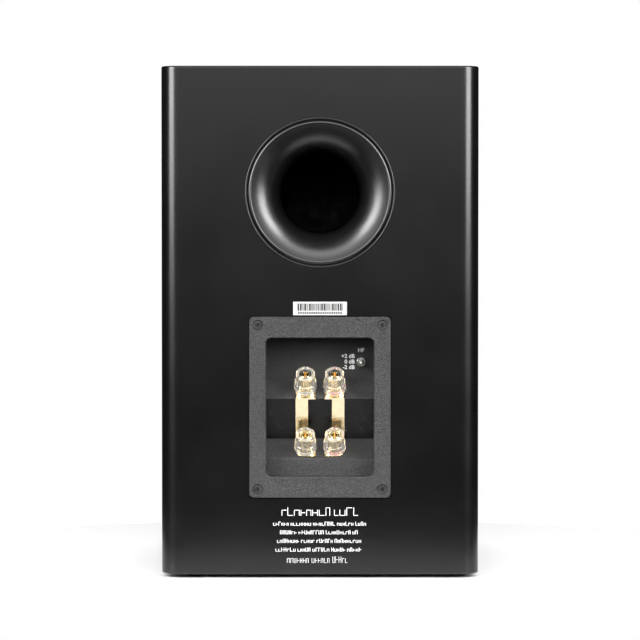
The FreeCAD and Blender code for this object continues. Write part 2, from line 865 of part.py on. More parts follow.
def make_post_sleeve(label, where):
    """The clear sleeve: a lower rim, a shoulder, six soft flats and a mouth over the socket."""
    body = new_body(label)
    profile = [
        ("core_radius", "knob_foot"),
        ("skirt_bore", "knob_foot"),
        ("skirt_bore", "skirt_foot"),
        ("skirt_radius - 0.5", "skirt_foot"),
        ("skirt_radius", "skirt_foot + 0.5", "0.5"),
        ("skirt_radius", "skirt_foot + 1.7"),
        ("shoulder_radius", "skirt_foot + 2.1"),
        ("shoulder_radius", "shoulder - 0.5"),
        ("knob_radius", "shoulder"),
        ("knob_radius", "knob_tip - 0.8"),
        ("knob_radius - 0.8", "knob_tip", "0.8"),
        ("stud_radius + 1.1", "knob_tip"),
        ("stud_radius + 1.1", "knob_tip - 1.5"),
        ("core_radius", "knob_tip - 1.5"),
    ]
    revolve(body, outline(body, "XZ", profile))
    doc.recompute()
    solid = body.Tip.Shape.Volume
    flat = [
        ("knob_radius - 0.45", "-5"),
        ("knob_radius + 2", "-5"),
        ("knob_radius + 2", "5"),
        ("knob_radius - 0.45", "5"),
    ]
    sketch = outline(body, "XY", flat)
    bind(sketch, "AttachmentOffset.Base.z", "shoulder")
    side = extrude(body, "Pocket", sketch, "knob_tip", flip=True)
    flats = repeat(body, side, "Z", 6)
    doc.recompute()
    assert flats.Shape.Volume < solid
    place(body, **where)
    sub_part(body, label)


def make_link(side):
    """A bent strip that joins the upper and lower posts of one polarity."""
    sign = POST_SIDES[side]
    near, far = "link_gap", "link_gap + link"
    ridge = ("-ridge_depth", "upper_valley - facet_rise")
    valley = ("-valley_depth", "lower_valley")
    profile = [
        facet_point("upper_valley", "-link_reach", near),
        bend_point(*ridge, near),
        bend_point(*valley, near),
        facet_point("lower_valley", "link_reach", near),
        facet_point("lower_valley", "link_reach", far),
        bend_point(*valley, far),
        bend_point(*ridge, far),
        facet_point("upper_valley", "-link_reach", far),
    ]
    sheet_body = new_body("link_sheet")
    extrude(sheet_body, "Pad", outline(sheet_body, "YZ", profile), "2 * link_half", symmetric=True)

    def outer_end(edge):
        return abs(edge.Length - number("link")) < 0.01 and edge.CenterOfMass.x * sign > 0

    soften(sheet_body, "link_corner", outer_end)
    place(sheet_body, f"{sign} * post_apart / 2", CUP_FACE, "cup_height")
    inner = f"{sign} * (post_apart / 2 - link_half - 1)"
    strip = f"{sign} * (post_apart / 2 + link_half - strip_width)"
    low, high = (strip, inner) if sign < 0 else (inner, strip)
    waist = box(
        (low, high),
        (f"{CUP_FACE} - valley_depth - 3", f"{CUP_FACE} - ridge_depth + 6"),
        ("cup_height + lower_valley + 1", "cup_height + upper_valley - facet_rise - 0.6"),
    )
    slots = []
    for row in POST_ROWS:
        where = post_place(row, side, "-1")
        hole = doc.addObject("Part::Cylinder", "link_hole")
        bind(hole, "Radius", "stud_radius + 0.3")
        bind(hole, "Height", "4")
        place(hole, **where)
        mouth = doc.addObject("Part::Box", "link_mouth")
        bind(mouth, "Length", "link_half + 2")
        bind(mouth, "Width", "2 * (stud_radius + 0.15)")
        bind(mouth, "Height", "4")
        where["x"] = f"{sign} * post_apart / 2" + (" - link_half - 2" if sign > 0 else "")
        depth, height = facet_point(POST_ROWS[row], "-(stud_radius + 0.15)", "-1")
        where["y"], where["z"] = f"{CUP_FACE} + {depth}", f"cup_height + {height}"
        place(mouth, **where)
        slots += [hole, mouth]
    sub_part(join("Cut", sheet_body, join("MultiFuse", waist, *slots)), f"jumper_link_{side}")


# ---------------------------------------------------------------------------
# Three-position tone trim switch
# ---------------------------------------------------------------------------


def make_switch():
    panel = f"{CUP_FACE} - valley_depth"
    behind = "1.35 * cup_wall"
    where = {"x": "switch_aside", "y": panel, "z": "cup_height + switch_up"}
    body = new_body("switch_casing")
    casing = rounded("8", "12", "0.6")
    extrude(body, "Pad", outline(body, "XZ", casing), "10")
    place(body, where["x"], f"{panel} - {behind}", where["z"])
    lugs = []
    for step in (-4, 0, 4):
        lugs.append(
            box(
                ("switch_aside - 0.8", "switch_aside + 0.8"),
                (f"{panel} - {behind} - 14", f"{panel} - {behind} - 10"),
                (f"cup_height + switch_up + {step} - 0.4", f"cup_height + switch_up + {step} + 0.4"),
            )
        )
    sub_part(join("MultiFuse", body, *lugs), "trim_switch_body")
    bushing = [
        ("ball_radius + 0.1", f"-{behind}"),
        ("bushing_radius", f"-{behind}"),
        ("bushing_radius", "bushing_proud - 0.3"),
        ("bushing_radius - 0.3", "bushing_proud"),
        ("bushing_bore", "bushing_proud"),
        ("ball_radius + 0.1", "bushing_proud - 3"),
    ]
    bushing_body = new_body("bushing_blank")
    revolve(bushing_body, outline(bushing_body, "XY", bushing))
    place(bushing_body, **where)
    pin_seat = pivot_pin("pin_radius + 0.05", "pin_half + 0.1", panel)
    sub_part(join("Cut", bushing_body, pin_seat), "trim_switch_bushing")
    neck = "lever_radius - 0.15"
    lever = [
        ("0", "pivot_proud - ball_radius"),
        ("ball_radius", "pivot_proud", "ball_radius"),
        (neck, f"pivot_proud + sqrt(ball_radius ^ 2 - ({neck}) ^ 2)", "ball_radius"),
        ("lever_radius", "lever_tip - lever_radius"),
        ("0", "lever_tip", "lever_radius"),
    ]
    lever_body = new_body("lever_blank")
    revolve(lever_body, outline(lever_body, "XY", lever))
    place(lever_body, **where)
    pin = pivot_pin("pin_radius", "pin_half", panel)
    sub_part(join("MultiFuse", lever_body, pin), "trim_switch_lever")


def pivot_pin(radius, half, panel):
    """A cylinder along X through the middle of the lever's ball."""
    pin = doc.addObject("Part::Cylinder", "pivot_pin")
    bind(pin, "Radius", radius)
    bind(pin, "Height", f"2 * ({half})")
    pin.Placement = FreeCAD.Placement(Vector(), FreeCAD.Rotation(Vector(0, 1, 0), 90))
    bind(pin, "Placement.Base.x", f"switch_aside - ({half})")
    bind(pin, "Placement.Base.y", f"{panel} + pivot_proud")
    bind(pin, "Placement.Base.z", "cup_height + switch_up")
    return pin


# ---------------------------------------------------------------------------
# Drivers: outlines are (radius, distance behind the baffle's face)
# ---------------------------------------------------------------------------

WOOFER = {"y": "front_face", "z": "woofer_height"}
TWEETER = {"y": "front_face", "z": "tweeter_height"}


def make_basket():
    body = new_body("basket_casting")
    profile = [
        ("74", "0"),
        ("woofer_radius", "0"),
        ("woofer_radius", "flange"),
        ("woofer_cutout - 1", "flange"),
        ("woofer_cutout - 1", "baffle"),
        ("47", "basket_depth - 3"),
        ("47", "basket_depth"),
        ("20", "basket_depth"),
        ("20", "basket_depth - 3"),
        ("42", "basket_depth - 3"),
        ("42", "41"),
        ("36", "41"),
        ("36", "38.5"),
        ("49", "38.5"),
        ("70", "17"),
        ("70", "flange"),
        ("66", "flange"),
        ("66", "2"),
        ("74", "2"),
    ]
    revolve(body, outline(body, "XY", profile))
    doc.recompute()
    solid = body.Tip.Shape.Volume
    window = [("48", "19.5"), ("80", "19.5"), ("80", "37"), ("48", "37")]
    opening = revolve(body, outline(body, "XY", window), "Groove", 40)
    windows = repeat(body, opening, "Y", 6)
    doc.recompute()
    assert windows.Shape.Volume < solid
    place(body, **WOOFER)
    spots = ring_of(6, "woofer_screws", "woofer_height")
    drilled = bored(body, "front_face - 1", [(x, z, "2", "flange + 2") for x, z in spots])
    sinks = [countersink("4.1", "2", "2.2", (x, "front_face", z, -90)) for x, z in spots]
    sub_part(join("Cut", drilled, join("MultiFuse", *sinks)), "woofer_basket")


def make_woofer_cone_group():
    """What moves with the voice coil, and the two suspensions that carry it."""
    turned("woofer_cone", [
        ("cone_neck", "32"),
        ("cone_radius", "2.2", "90"),
        ("cone_radius + 2", "2.2"),
        ("cone_radius + 2", "3"),
        ("cone_radius - 0.5", "3.2"),
        ("cone_neck", "33.2", "-90"),
    ], **WOOFER)
    turned("woofer_dust_cap", [
        ("0", "15.4"),
        ("22", "22.2", "39"),
        ("21.2", "22.9"),
        ("0", "16.2", "-38"),
    ], **WOOFER)
    turned("woofer_coil_former", [
        ("former_radius", "30"),
        ("former_radius + 0.3", "30"),
        ("former_radius + 0.3", "59.5"),
        ("former_radius", "59.5"),
    ], **WOOFER)
    turned("woofer_coil", [
        ("former_radius + 0.3", "47"),
        ("coil_radius", "47"),
        ("coil_radius", "59"),
        ("former_radius + 0.3", "59"),
    ], **WOOFER)
    turned("woofer_surround", [
        ("cone_radius - 0.5", "1.5"),
        ("cone_radius + 1", "surround_seat"),
        ("cone_radius + 11", "surround_seat", "5.44"),
        ("gasket_edge", "surround_seat"),
        ("gasket_edge", "2"),
        ("cone_radius + 10.3", "2"),
        ("cone_radius + 1.7", "2", "-4.49"),
        ("cone_radius - 0.5", "2.15"),
    ], **WOOFER)
    turned("woofer_gasket", [
        ("gasket_bore", "-0.8"),
        ("gasket_edge", "-0.8"),
        ("gasket_edge", "surround_seat"),
        ("gasket_bore", "surround_seat"),
    ], **WOOFER)
    turned("woofer_spider", [
        ("former_radius + 0.35", "spider_level"),
        ("16", "spider_level"),
        ("20", "spider_level", "-2.4"),
        ("24", "spider_level", "2.4"),
        ("28", "spider_level", "-2.4"),
        ("32", "spider_level", "2.4"),
        ("36", "38", "-3.4"),
        ("spider_radius", "38"),
        ("spider_radius", "38.45"),
        ("35.7", "38.45"),
        ("32", "spider_level + 0.5", "3.2"),
        ("28", "spider_level + 0.5", "-2.6"),
        ("24", "spider_level + 0.5", "2.6"),
        ("20", "spider_level + 0.5", "-2.6"),
        ("16", "spider_level + 0.5", "2.6"),
        ("former_radius + 0.35", "spider_level + 0.5"),
    ], **WOOFER)


def make_woofer_motor():
    face = "basket_depth"
    turned("woofer_top_plate", [
        ("gap_radius", face),
        ("yoke_radius", face),
        ("yoke_radius", f"{face} + pole_plate"),
        ("gap_radius", f"{face} + pole_plate"),
    ], **WOOFER)
    turned("woofer_magnet", [
        ("20", f"{face} + pole_plate"),
        ("magnet_radius", f"{face} + pole_plate"),
        ("magnet_radius", f"{face} + pole_plate + magnet_length"),
        ("20", f"{face} + pole_plate + magnet_length"),
    ], **WOOFER)
    turned("woofer_yoke", [
        ("0", face),
        ("pole_radius", face),
        ("pole_radius", f"{face} + pole_plate + magnet_length"),
        ("yoke_radius", f"{face} + pole_plate + magnet_length"),
        ("yoke_radius", f"{face} + 2 * pole_plate + magnet_length"),
        ("0", f"{face} + 2 * pole_plate + magnet_length"),
    ], **WOOFER)


def facing_screw(head, shank, sink, length, reach):
    """A countersunk screw turned round, so that its face points along -Y."""
    body = new_body("screw")
    corners = [(x, f"-({y})") for x, y in reversed(screw_outline(head, shank, sink, length))]
    revolve(body, outline(body, "XY", corners))
    doc.recompute()
    corners = []
    for index in range(6):
        corners.append((f"({head}) * 0.42 * cos({60 * index})", f"({head}) * 0.42 * sin({60 * index})"))
    extrude(body, "Pocket", outline(body, "XZ", corners), reach, symmetric=True)
    return body


def make_driver_screws():
    centres = [(x, "front_face", z) for x, z in ring_of(6, "woofer_screws", "woofer_height")]
    grouped("woofer_screws", lambda: facing_screw("4", "1.85", "2.2", "15.5", "3.2"), centres)
    centres = [(x, "front_face", z) for x, z in ring_of(4, "tweeter_screws", "tweeter_height", 45)]
    grouped("tweeter_screws", lambda: facing_screw("3.1", "1.45", "1.8", "13.5", "2.6"), centres)


def make_tweeter():
    body = new_body("faceplate_disc")
    profile = [
        ("44", "0", "70"),
        ("tweeter_radius", "0"),
        ("tweeter_radius", "flange"),
        ("tweeter_cutout - 0.5", "flange"),
        ("30", "9"),
        ("16.6", "9"),
        ("16.6", "7.4"),
    ]
    revolve(body, outline(body, "XY", profile))
    place(body, **TWEETER)
    spots = ring_of(4, "tweeter_screws", "tweeter_height", 45)
    drilled = bored(body, "front_face - 1", [(x, z, "1.6", "flange + 2") for x, z in spots])
    sinks = [countersink("3.2", "1.6", "1.8", (x, "front_face", z, -90)) for x, z in spots]
    sub_part(join("Cut", drilled, join("MultiFuse", *sinks)), "tweeter_faceplate")
    turned("tweeter_dome", [
        ("0", "2"),
        ("dome_radius", "dome_foot", "16.27"),
        ("dome_radius - 0.3", "dome_foot"),
        ("0", "2.3", "-15.9"),
    ], **TWEETER)
    turned("tweeter_suspension", [
        ("dome_radius + 0.05", "dome_foot"),
        ("dome_radius + 3.5", "dome_foot", "1.9"),
        ("dome_radius + 3.7", "9.05"),
        ("18", "9.05"),
        ("18", "9.3"),
        ("dome_radius + 3.2", "9.3"),
        ("dome_radius + 0.35", "8.35", "-1.7"),
        ("dome_radius + 0.05", "8.35"),
    ], **TWEETER)
    turned("tweeter_coil", [
        ("dome_radius - 0.3", "8.15"),
        ("dome_radius", "8.15"),
        ("dome_radius + 0.3", "9.6"),
        ("dome_radius + 0.3", "gap_rear"),
        ("dome_radius - 0.3", "gap_rear"),
    ], **TWEETER)
    turned("tweeter_top_plate", [
        ("13.6", "9.4"),
        ("tweeter_yoke", "9.4"),
        ("tweeter_yoke", "gap_rear"),
        ("13.6", "gap_rear"),
    ], **TWEETER)
    turned("tweeter_magnet", [
        ("17", "gap_rear"),
        ("34", "gap_rear"),
        ("34", "magnet_rear"),
        ("17", "magnet_rear"),
    ], **TWEETER)
    turned("tweeter_yoke", [
        ("0", "9.6"),
        ("11.9", "9.6"),
        ("11.9", "magnet_rear"),
        ("tweeter_yoke", "magnet_rear"),
        ("tweeter_yoke", "magnet_rear + 4"),
        ("0", "magnet_rear + 4"),
    ], **TWEETER)


# ---------------------------------------------------------------------------
# Crossover on the bottom board, and the leads that join it to the drivers
# ---------------------------------------------------------------------------

BOARD_TOP = "foot_height + board + circuit_lift + circuit_board"


def make_crossover():
    sub_part(
        box(("-50", "50"), ("-20", "70"), ("foot_height + board + circuit_lift", BOARD_TOP)),
        "crossover_board",
    )

    def standoff():
        post = doc.addObject("Part::Cylinder", "standoff")
        bind(post, "Radius", "3")
        bind(post, "Height", "circuit_lift")
        return post

    feet = [(str(x), str(y), "foot_height + board") for x in (-44, 44) for y in (-14, 64)]
    grouped("crossover_standoffs", standoff, feet)

    def coil(inner, outer, height):
        body = new_body("inductor")
        extrude(body, "Pad", circles(body, "XY", [("0", "0")], inner, outer), height)
        return body

    inductors = doc.addObject("Part::Compound", "crossover_inductors")
    coils = [coil("8", "20", "22"), coil("6", "14", "16")]
    place(coils[0], -26, 42, BOARD_TOP)
    place(coils[1], 28, 50, BOARD_TOP)
    inductors.Links = coils
    sub_part(inductors, "crossover_inductors")

    def can(radius, length):
        barrel = doc.addObject("Part::Cylinder", "can")
        bind(barrel, "Radius", radius)
        bind(barrel, "Height", length)
        return barrel

    capacitors = doc.addObject("Part::Compound", "crossover_capacitors")
    cans = [can("8", "34"), can("6", "28"), can("6", "28")]
    place(cans[0], -34, -16, f"{BOARD_TOP} + 8", -90)
    place(cans[1], 2, -16, f"{BOARD_TOP} + 6", -90)
    place(cans[2], 18, -16, f"{BOARD_TOP} + 6", -90)
    capacitors.Links = cans
    sub_part(capacitors, "crossover_capacitors")

    resistors = doc.addObject("Part::Compound", "crossover_resistors")
    resistors.Links = [
        box((str(x), str(x + 9)), ("-14", "14"), (BOARD_TOP, f"{BOARD_TOP} + 9")) for x in (27, 38)
    ]
    sub_part(resistors, "crossover_resistors")


def lead(points, radius, turn):
    """A round lead through the points, its corners eased by arcs that touch both runs."""
    edges = []
    start = points[0]
    for before, corner, after in zip(points, points[1:], points[2:]):
        toward = (before - corner).normalize()
        away = (after - corner).normalize()
        setback = turn / math.tan(toward.getAngle(away) / 2)
        entry = corner + toward * setback
        leave = corner + away * setback
        bisector = (toward + away).normalize()
        centre_gap = math.hypot(setback, turn)
        middle = corner + bisector * (centre_gap - turn)
        edges.append(Part.LineSegment(start, entry).toShape())
        edges.append(Part.Arc(entry, middle, leave).toShape())
        start = leave
    edges.append(Part.LineSegment(start, points[-1]).toShape())
    path = Part.Wire(edges)
    direction = (points[1] - points[0]).normalize()
    section = Part.Wire([Part.Circle(points[0], direction, radius).toShape()])
    return path.makePipeShell([section], True, False)


def make_leads():
    """Two-core leads from the board to the woofer, to the tweeter and to the terminals."""
    top = number(BOARD_TOP)
    woofer_rear = number("front_face + basket_depth + 2 * pole_plate + magnet_length")
    tweeter_rear = number("front_face + magnet_rear + 4")
    tweeter_height = number("tweeter_height")
    terminal_y = number(f"{CUP_FACE} - valley_depth - 16")
    routes = [
        [
            Vector(-46, 20, top),
            Vector(-46, 20, 70),
            Vector(-46, -30, 92),
            Vector(-20, woofer_rear + 8, 96),
            Vector(-20, woofer_rear, 96),
        ],
        [
            Vector(46, 20, top),
            Vector(46, 20, 90),
            Vector(46, -60, 180),
            Vector(20, -90, tweeter_height),
            Vector(20, tweeter_rear, tweeter_height),
        ],
        [
            Vector(0, 60, top),
            Vector(0, 60, 50),
            Vector(0, 84, 78),
            Vector(0, terminal_y, 88),
        ],
    ]
    leads = doc.addObject("Part::Feature", "internal_leads")
    leads.Shape = Part.makeCompound([lead(route, 1.6, 4) for route in routes])
    sub_part(leads, "internal_leads")


# ---------------------------------------------------------------------------
# Build, check and write
# ---------------------------------------------------------------------------

make_cabinet()
make_lining()
make_feet()
make_port()
make_cup()
make_cup_gasket()
make_cup_screws()
make_posts()
for polarity in POST_SIDES:
    make_link(polarity)
make_switch()
make_basket()
make_woofer_cone_group()
make_woofer_motor()
make_tweeter()
make_driver_screws()
make_crossover()
make_leads()
doc.recompute()

for item in doc.Objects:
    if {"Invalid", "Error"} & set(item.State):
        raise RuntimeError(f"{item.Label}: {item.State}")
for item in SUB_PARTS:
    shape = item.Shape
    if shape.isNull() or not shape.isValid():
        raise RuntimeError(f"{item.Label} has no valid shape")
    shape.exportStep(f"parts/{item.Label}.step")
    print(f"{item.Label}: {len(shape.Solids)} solids, {shape.Volume / 1000:.2f} cm3")
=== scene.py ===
import json
import math
import random

import bmesh
import bpy
from mathutils import Matrix, Vector


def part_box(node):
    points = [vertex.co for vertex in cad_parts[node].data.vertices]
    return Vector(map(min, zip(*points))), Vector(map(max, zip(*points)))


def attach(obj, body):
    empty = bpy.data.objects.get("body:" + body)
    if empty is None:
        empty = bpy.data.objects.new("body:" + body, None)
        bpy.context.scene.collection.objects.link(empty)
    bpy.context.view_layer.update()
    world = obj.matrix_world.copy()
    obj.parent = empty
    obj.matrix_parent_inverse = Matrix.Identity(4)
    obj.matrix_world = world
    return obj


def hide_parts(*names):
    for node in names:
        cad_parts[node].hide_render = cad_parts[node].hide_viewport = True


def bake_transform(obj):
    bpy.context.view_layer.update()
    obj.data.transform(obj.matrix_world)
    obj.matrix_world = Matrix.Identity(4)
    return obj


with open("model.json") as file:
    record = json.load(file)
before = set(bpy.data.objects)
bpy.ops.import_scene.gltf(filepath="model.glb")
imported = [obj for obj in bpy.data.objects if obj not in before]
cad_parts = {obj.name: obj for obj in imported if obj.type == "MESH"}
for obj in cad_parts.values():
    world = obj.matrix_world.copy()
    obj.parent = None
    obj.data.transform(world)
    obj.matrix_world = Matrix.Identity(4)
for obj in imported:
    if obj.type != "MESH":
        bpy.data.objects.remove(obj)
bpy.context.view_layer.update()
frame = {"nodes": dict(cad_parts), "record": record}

MM = 0.001
NODES = frame["nodes"]

# ---------------------------------------------------------------------------
# Places read from the frame
# ---------------------------------------------------------------------------

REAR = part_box("rear_panel")[1].y
BAFFLE_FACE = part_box("front_baffle")[0].y
PLATE_LOW, PLATE_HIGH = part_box("terminal_plate")
PLATE_FACE = PLATE_HIGH.y
SWITCH_LOW, SWITCH_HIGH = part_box("trim_switch_bushing")
SWITCH = (SWITCH_LOW + SWITCH_HIGH) / 2

# The set. Lengths are in metres, the azimuth is in degrees from straight behind the box, and a
# radiance of 1 is that of a white surface seen at full scale.
FLOOR_RADIUS = 0.28
STRIP_AZIMUTH = 54
STRIP_REACH = 1.2
STRIP_LOW = 0.26
STRIP_TALL = 1.0
STRIP_WIDE = 0.6
STRIP_RADIANCE = 17.0
OVERHEAD_RADIANCE = 4.5
BACK_RADIANCE = 1.7
FILL_RADIANCE = 6.0
WORLD_RADIANCE = 0.03

# The radius that every sharp edge seems to have.
EDGE_ROUNDING = 0.25 * MM

# Axes of print that is read from behind: along the line, up the line, out of the surface.
READ_FROM_BEHIND = Matrix(((-1, 0, 0), (0, 0, 1), (0, 1, 0))).transposed()

# ---------------------------------------------------------------------------
# Materials: every one is built from nodes in the speaker's own coordinates
# ---------------------------------------------------------------------------


class Finish:
    """A node material round one Principled shader."""

    def __init__(self, name):
        self.material = bpy.data.materials.new(name)
        self.material.use_nodes = True
        self.tree = self.material.node_tree
        self.shader = self.tree.nodes["Principled BSDF"]
        self.place = self.node("ShaderNodeTexCoord").outputs["Object"]

    def node(self, kind, **settings):
        """A new node with some of its properties set."""
        made = self.tree.nodes.new(kind)
        for field, amount in settings.items():
            setattr(made, field, amount)
        return made

    def link(self, source, target):
        self.tree.links.new(source, target)

    def stretched(self, scale):
        """Coordinates stretched by a vector, for grain that runs one way."""
        mapping = self.node("ShaderNodeMapping")
        self.link(self.place, mapping.inputs["Vector"])
        mapping.inputs["Scale"].default_value = scale
        return mapping.outputs["Vector"]

    def noise(self, size, detail=2.0, rough=0.5, place=None):
        """Soft noise whose features are about size metres across."""
        texture = self.node("ShaderNodeTexNoise")
        self.link(place or self.place, texture.inputs["Vector"])
        texture.inputs["Scale"].default_value = 1 / size
        texture.inputs["Detail"].default_value = detail
        texture.inputs["Roughness"].default_value = rough
        return texture.outputs["Fac"]

    def cells(self, size):
        """Rounded cells about size metres across: the distance from each cell's middle."""
        texture = self.node("ShaderNodeTexVoronoi", feature="SMOOTH_F1")
        self.link(self.place, texture.inputs["Vector"])
        texture.inputs["Scale"].default_value = 1 / size
        return texture.outputs["Distance"]

    def remap(self, value, low, high, start=0.0, end=1.0):
        """Low to high as the value goes from start to end."""
        spread = self.node("ShaderNodeMapRange")
        self.link(value, spread.inputs["Value"])
        spread.inputs["From Min"].default_value = start
        spread.inputs["From Max"].default_value = end
        spread.inputs["To Min"].default_value = low
        spread.inputs["To Max"].default_value = high
        return spread.outputs["Result"]

    def maths(self, operation, first, second):
        """One sum on two inputs, each a number or the output of a node."""
        result = self.node("ShaderNodeMath", operation=operation)
        for socket, value in zip(result.inputs, (first, second)):
            if isinstance(value, (int, float)):
                socket.default_value = value
            else:
                self.link(value, socket)
        return result.outputs["Value"]

    def blend(self, share, first, second):
        """A colour between two colours."""
        mix = self.node("ShaderNodeMix", data_type="RGBA")
        self.link(share, mix.inputs["Factor"])
        for socket, colour in (("A", first), ("B", second)):
            target = next(item for item in mix.inputs if item.name == socket and item.type == "RGBA")
            if isinstance(colour, tuple):
                target.default_value = (*colour, 1.0)
            else:
                self.link(colour, target)
        return next(item for item in mix.outputs if item.type == "RGBA")

    def edges(self, radius):
        """1 along sharp convex and concave edges, 0 on open surfaces."""
        reach = 0.12
        soft = self.node("ShaderNodeBevel", samples=6)
        soft.inputs["Radius"].default_value = radius
        sharp = self.node("ShaderNodeNewGeometry")
        dot = self.node("ShaderNodeVectorMath", operation="DOT_PRODUCT")
        self.link(soft.outputs["Normal"], dot.inputs[0])
        self.link(sharp.outputs["Normal"], dot.inputs[1])
        return self.remap(dot.outputs["Value"], 1.0, 0.0, 1.0 - reach, 1.0)

    def coordinate(self, axis):
        """One of the three coordinates of a point on the speaker."""
        parts = self.node("ShaderNodeSeparateXYZ")
        self.link(self.place, parts.inputs[0])
        return parts.outputs[axis]

    def leaning(self, start, full):
        """0 to 1 as the upward part of the surface's direction goes from start to full."""
        true_normal = self.node("ShaderNodeNewGeometry").outputs["True Normal"]
        parts = self.node("ShaderNodeSeparateXYZ")
        self.link(true_normal, parts.inputs[0])
        return self.remap(parts.outputs["Z"], 0.0, 1.0, start, full)

    def relief(self, *layers, rounded=True):
        """Softly rounded edges and bumps on top, each a height and its depth in metres."""
        normal = None
        if rounded:
            rounding = self.node("ShaderNodeBevel", samples=4)
            rounding.inputs["Radius"].default_value = EDGE_ROUNDING
            normal = rounding.outputs["Normal"]
        for height, depth in layers:
            bump = self.node("ShaderNodeBump")
            self.link(height, bump.inputs["Height"])
            bump.inputs["Distance"].default_value = depth
            if normal is not None:
                self.link(normal, bump.inputs["Normal"])
            normal = bump.outputs["Normal"]
        self.link(normal, self.shader.inputs["Normal"])

    def colour(self, source):
        self.link(source, self.shader.inputs["Base Color"])

    def roughness(self, source):
        self.link(source, self.shader.inputs["Roughness"])

    def fixed(self, **values):
        """Set shader sockets by their names, written in lower case with underscores."""
        for name, amount in values.items():
            self.shader.inputs[name.replace("_", " ").title()].default_value = amount


def shade(colour, factor):
    """A colour made darker or paler by a factor."""
    return tuple(min(1.0, channel * factor) for channel in colour)


def moulded(name, colour, rough, grain, depth, wear=1.6, spread=0.18):
    """Moulded or coated plastic: fine grain, cloudy sheen and paler worn edges."""
    finish = Finish(name)
    cloud = finish.noise(0.035, 3)
    speck = finish.noise(grain * 0.8, 2, 0.6)
    spotted = finish.remap(speck, 0, 1, 0.35, 0.65)
    tone = finish.blend(spotted, shade(colour, 1 - spread), shade(colour, 1 + spread))
    worn = finish.blend(finish.edges(0.5 * MM), tone, shade(colour, wear))
    finish.colour(worn)
    finish.roughness(finish.remap(cloud, rough - 0.05, rough + 0.05, 0.3, 0.7))
    finish.relief((finish.noise(grain, 3, 0.6), depth), (finish.noise(grain * 8, 2), depth * 0.7))
    return finish


def pebbled(name, colour, rough, grain, depth):
    """Injection-moulded plastic with a leather-like pebble grain.

    It is smoother where it leans down, and darker there as painted shade. It goes black at the bottom
    of the recess as painted shade, and its edges are paler as a painted highlight.
    """
    painted_shade_from = PLATE_FACE - 20.4 * MM
    painted_shade_to = PLATE_FACE - 21.8 * MM
    polished_rough = 0.3
    finish = Finish(name)
    pebble = finish.cells(grain)
    speck = finish.noise(grain * 0.9, 3, 0.75)
    domes = finish.maths("MULTIPLY", pebble, -0.8)
    height = finish.maths("ADD", domes, finish.maths("MULTIPLY", speck, 0.9))
    smooth_and_shaded_down = finish.leaning(-0.1, -0.3)
    spotted = finish.remap(speck, 0, 1, 0.42, 0.58)
    tone = finish.blend(spotted, shade(colour, 0.1), shade(colour, 2.3))
    # Painted shade: the colour goes nearly black deep in the recess.
    lit = finish.remap(finish.coordinate("Y"), 1.0, 0.3, painted_shade_from, painted_shade_to)
    shaded = finish.blend(lit, (0.0, 0.0, 0.0), tone)
    # Painted shade: faces that lean down are darker; they are also smoother.
    grained = finish.blend(smooth_and_shaded_down, shaded, shade(colour, 0.2))
    # Painted highlight: paler edges stand in for the glint along ridges and rims.
    finish.colour(finish.blend(finish.edges(0.45 * MM), grained, shade(colour, 2.8)))
    sheen = finish.remap(finish.noise(grain * 6, 2), rough - 0.06, rough + 0.06, 0.3, 0.7)
    smoothing = finish.maths("MULTIPLY", smooth_and_shaded_down, rough - polished_rough)
    finish.roughness(finish.maths("SUBTRACT", sheen, smoothing))
    gloss = finish.remap(smooth_and_shaded_down, 0.5, 0.2)
    finish.link(gloss, finish.shader.inputs["Specular IOR Level"])
    grain_only = finish.maths("MULTIPLY", height, finish.maths("SUBTRACT", 1.0, smooth_and_shaded_down))
    finish.relief((grain_only, depth))
    return finish


def metal(name, colour, rough, grain=0.15 * MM, depth=0.004 * MM, stretch=(1, 1, 1), metallic=1.0):
    """Plated, brushed or blackened metal with fine scratches and smudges."""
    finish = Finish(name)
    along = finish.stretched(stretch)
    scratch = finish.noise(grain, 4, 0.7, along)
    smudge = finish.noise(6 * MM, 3)
    dulled = finish.remap(smudge, 0, 1, 0.3, 0.7)
    finish.colour(finish.blend(dulled, shade(colour, 0.86), shade(colour, 1.08)))
    finish.roughness(finish.remap(smudge, rough * 0.7, rough * 1.35, 0.3, 0.7))
    finish.relief((scratch, depth))
    finish.fixed(metallic=metallic)
    return finish


def grooved_gold(name, colour):
    """Gold plate with painted shade inside its own grooves."""
    finish = Finish(name)
    smudge = finish.noise(6 * MM, 3)
    plate = finish.blend(finish.remap(smudge, 0, 1, 0.3, 0.7), shade(colour, 0.9), shade(colour, 1.06))
    # Painted shade: the colour darkens where the plate's own grooves close in.
    hollow = finish.node("ShaderNodeAmbientOcclusion", samples=8, only_local=True)
    hollow.inputs["Distance"].default_value = 0.8 * MM
    outside_groove_shade = finish.remap(hollow.outputs["AO"], 0.0, 1.0, 0.5, 0.85)
    finish.colour(finish.blend(outside_groove_shade, (0.12, 0.07, 0.02), plate))
    finish.roughness(finish.remap(smudge, 0.12, 0.22, 0.3, 0.7))
    finish.relief((finish.noise(0.3 * MM, 4, 0.7), 0.003 * MM))
    finish.fixed(metallic=1.0)
    return finish


def woven(name, colour, thread, rough=0.85):
    """Cloth with crossed threads."""
    finish = Finish(name)
    waves = []
    for axis in ("X", "Z"):
        wave = finish.node("ShaderNodeTexWave", bands_direction=axis)
        finish.link(finish.place, wave.inputs["Vector"])
        wave.inputs["Scale"].default_value = 0.05 / thread
        waves.append(wave.outputs["Fac"])
    height = finish.maths("MULTIPLY", waves[0], waves[1])
    finish.colour(finish.blend(height, shade(colour, 0.6), shade(colour, 1.2)))
    finish.roughness(finish.remap(finish.noise(5 * MM), rough - 0.08, rough + 0.08))
    finish.relief((height, thread * 0.3), (finish.noise(thread * 0.4, 3), thread * 0.1))
    return finish


